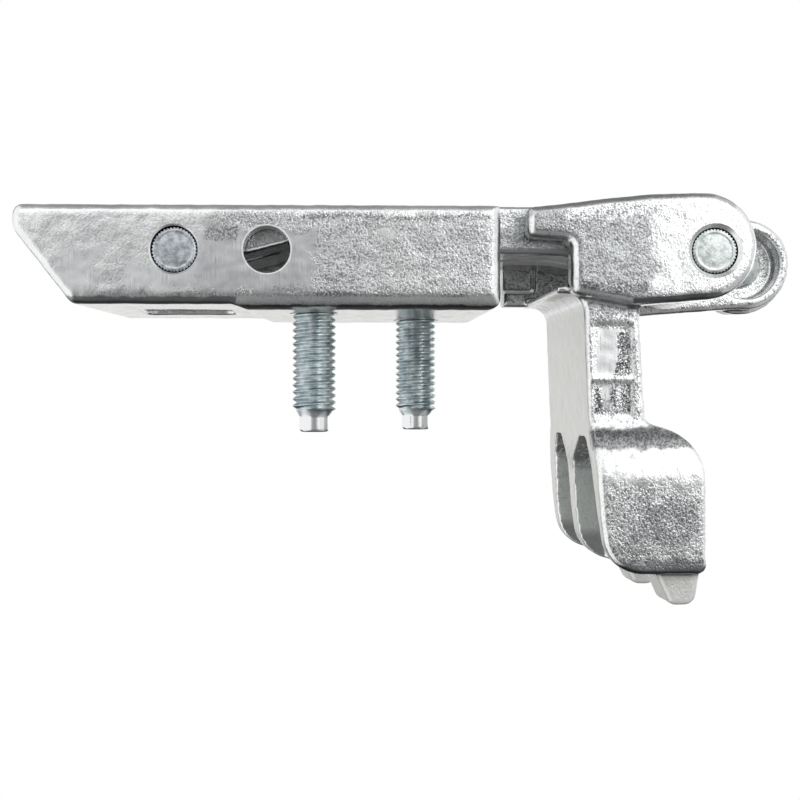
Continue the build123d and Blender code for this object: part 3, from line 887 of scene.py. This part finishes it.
# ---------------------------------------------------------------- studio
def direction_graph(graph):
    """The world's light by direction: bright softboxes to the sides and above the camera, a pale backdrop, a
    grey room behind the camera, and dark below."""
    direction = graph.add("ShaderNodeTexCoord").outputs["Generated"]
    split = graph.add("ShaderNodeSeparateXYZ", {0: direction})
    right, ahead, up = split.outputs
    height = graph.add("ShaderNodeMapRange", {0: up, 1: -1.0, 2: 1.0}).outputs[0]
    front = graph.ramp(
        height,
        (0.0, 0.12),
        (0.05, 0.19),
        (0.14, 0.20),
        (0.30, 0.18),
        (0.37, 0.13),
        (0.44, 0.19),
        (0.50, 0.26),
        (0.58, 0.32),
        (0.64, 0.72),
        (0.90, 0.84),
        (0.94, 0.32),
        (1.0, 0.24),
    )
    back = graph.ramp(
        height,
        (0.0, 0.04),
        (0.28, 0.06),
        (0.38, 0.50),
        (0.44, 0.78),
        (0.50, 0.78),
        (0.58, 0.60),
        (0.67, 0.28),
        (1.0, 0.24),
    )
    light = graph.mix(graph.step(ahead, -0.15, 0.15), front, back)
    left_wall = graph.times(graph.step(right, -0.28, -0.50), graph.step(up, -0.90, -0.70))
    left_wall = graph.times(left_wall, graph.step(ahead, 0.55, 0.35))
    light = graph.mix(left_wall, light, LEFT_WALL_TONE)
    right_wall = graph.times(graph.step(right, 0.38, 0.56), graph.step(ahead, 0.45, 0.25))
    light = graph.mix(right_wall, light, RIGHT_WALL_TONE)
    to_right = graph.times(graph.step(right, 0.20, 0.33), TO_RIGHT_GAIN)
    to_left = graph.times(graph.step(right, -0.02, -0.24), graph.step(ahead, 0.4, 0.0), TO_LEFT_GAIN)
    side = graph.times(graph.plus(to_right, to_left), graph.step(up, -0.4, 0.05))
    side = graph.times(side, graph.step(up, 0.96, 0.80), graph.without(left_wall))
    gain = graph.plus(WORLD_GAIN, side)
    return light, gain


def studio_world():
    world = bpy.data.worlds.new("studio")
    world.use_nodes = True
    bpy.context.scene.world = world
    graph = Graph(world.node_tree)
    light, gain = direction_graph(graph)
    lit = graph.add("ShaderNodeBackground", {"Color": light, "Strength": gain})
    plain = graph.add("ShaderNodeBackground", {"Color": (1.0, 1.0, 1.0, 1.0), "Strength": 1.0})
    seen = graph.add("ShaderNodeLightPath").outputs["Is Camera Ray"]
    both = graph.add("ShaderNodeMixShader", {0: seen, 1: lit.outputs[0], 2: plain.outputs[0]})
    output = graph.add("ShaderNodeOutputWorld")
    graph.tree.links.new(both.outputs[0], output.inputs[0])


def studio_floor():
    """A white floor just under the hinge, lit so evenly that it shows no edge against the backdrop."""
    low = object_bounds()[0]
    height = low[2] - FLOOR_GAP * MM
    half = FLOOR_SIZE / 2
    mesh = bpy.data.meshes.new("floor")
    corners = [(-half, -half, height), (half, -half, height), (half, half, height), (-half, half, height)]
    mesh.from_pydata(corners, [], [(0, 1, 2, 3)])
    material, graph = new_material("white_floor")
    glow = graph.add("ShaderNodeEmission", {"Color": (1.0, 1.0, 1.0, 1.0), "Strength": 1.0})
    output = graph.add("ShaderNodeOutputMaterial")
    graph.tree.links.new(glow.outputs[0], output.inputs[0])
    floor = add_object("floor", mesh, material)
    floor.visible_glossy = False
    floor.visible_diffuse = False


def right_softbox():
    """A square area light that faces the bracket pin from the camera's right. Its azimuth is counted from the
    camera's side."""
    turn = math.radians(SOFTBOX_AZIMUTH)
    rise = math.radians(SOFTBOX_ELEVATION)
    outward = Vector((math.sin(turn) * math.cos(rise), -math.cos(turn) * math.cos(rise), math.sin(rise)))
    light = bpy.data.lights.new("right_softbox", "AREA")
    light.shape = "SQUARE"
    light.size = SOFTBOX_SIZE
    light.energy = SOFTBOX_RADIANCE * math.pi * SOFTBOX_SIZE * SOFTBOX_SIZE
    lamp = bpy.data.objects.new("right_softbox", light)
    lamp.location = Vector(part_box("bracket_pin")[0]) + outward * SOFTBOX_DISTANCE
    lamp.rotation_euler = (-outward).to_track_quat("-Z", "Y").to_euler()
    lamp.visible_camera = False
    bpy.context.scene.collection.objects.link(lamp)


def camera():
    lens = bpy.data.cameras.new("camera")
    lens.lens = CAMERA_LENS
    lens.shift_x = CAMERA_SHIFT_X
    lens.clip_start = CAMERA_CLIP
    view = bpy.data.objects.new("camera", lens)
    view.location = Vector(CAMERA_PLACE) * MM
    view.rotation_euler = (math.pi / 2, 0.0, -math.radians(CAMERA_TURN_DEG))
    bpy.context.scene.collection.objects.link(view)
    bpy.context.scene.camera = view


# ---------------------------------------------------------------- the hinge
def castings():
    pin_axes = {}
    for node in ("housing_pin", "bracket_pin", "stop_pin"):
        centre = axis_of(node, 1)[0] / MM
        pin_axes[node] = (centre.x, centre.z)
    housing_axis = pin_axes["housing_pin"]
    bracket_axis = pin_axes["bracket_pin"]
    housing_bores = [
        (*housing_axis, HOUSING_PIN_MOUTH),
        (housing_axis[0] + ACCESS_HOLE_OFFSET, housing_axis[1], HOLE_MOUTH),
    ]
    bracket_bores = [(*bracket_axis, BRACKET_PIN_MOUTH)]
    ear_axes = [bracket_axis, pin_axes["stop_pin"]]
    casting("housing", "housing_cast", housing_material(), "housing", [housing_axis], housing_bores)
    casting("link_arm", "link_cast", link_material(), "link", [housing_axis, bracket_axis])
    casting("bracket", "bracket_cast", bracket_material(), "bracket", ear_axes, bracket_bores)


def studs_and_pins():
    zinc_stud = stud_material()
    for side in ("near", "far"):
        stud(f"stud_{side}", f"stud_{side}_threaded", zinc_stud)
    blue_zinc = pin_material("blue_zinc_pin", (0.66, 0.69, 0.73), (0.36, 0.39, 0.43))
    white_zinc = pin_material("white_zinc_pin", (0.75, 0.78, 0.77), (0.46, 0.52, 0.51))
    hinge_pin("housing_pin", "housing_pin_knurled", blue_zinc, "housing")
    hinge_pin("bracket_pin", "bracket_pin_knurled", white_zinc, "bracket")
    stop_pin("stop_pin", "stop_pin_upset", white_zinc)


def paint(node, material):
    """Gives a CAD node that stays in view its own material."""
    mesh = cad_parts[node].data
    mesh.materials.clear()
    mesh.materials.append(material)


castings()
studs_and_pins()
bronze = bronze_material()
for bush in ("nose_bush_near", "nose_bush_far", "ear_bush_near", "ear_bush_far"):
    paint(bush, bronze)
paint("link_buffer", rubber_material())
studio_world()
studio_floor()
right_softbox()
camera()
bpy.context.scene.view_settings.view_transform = "Standard"
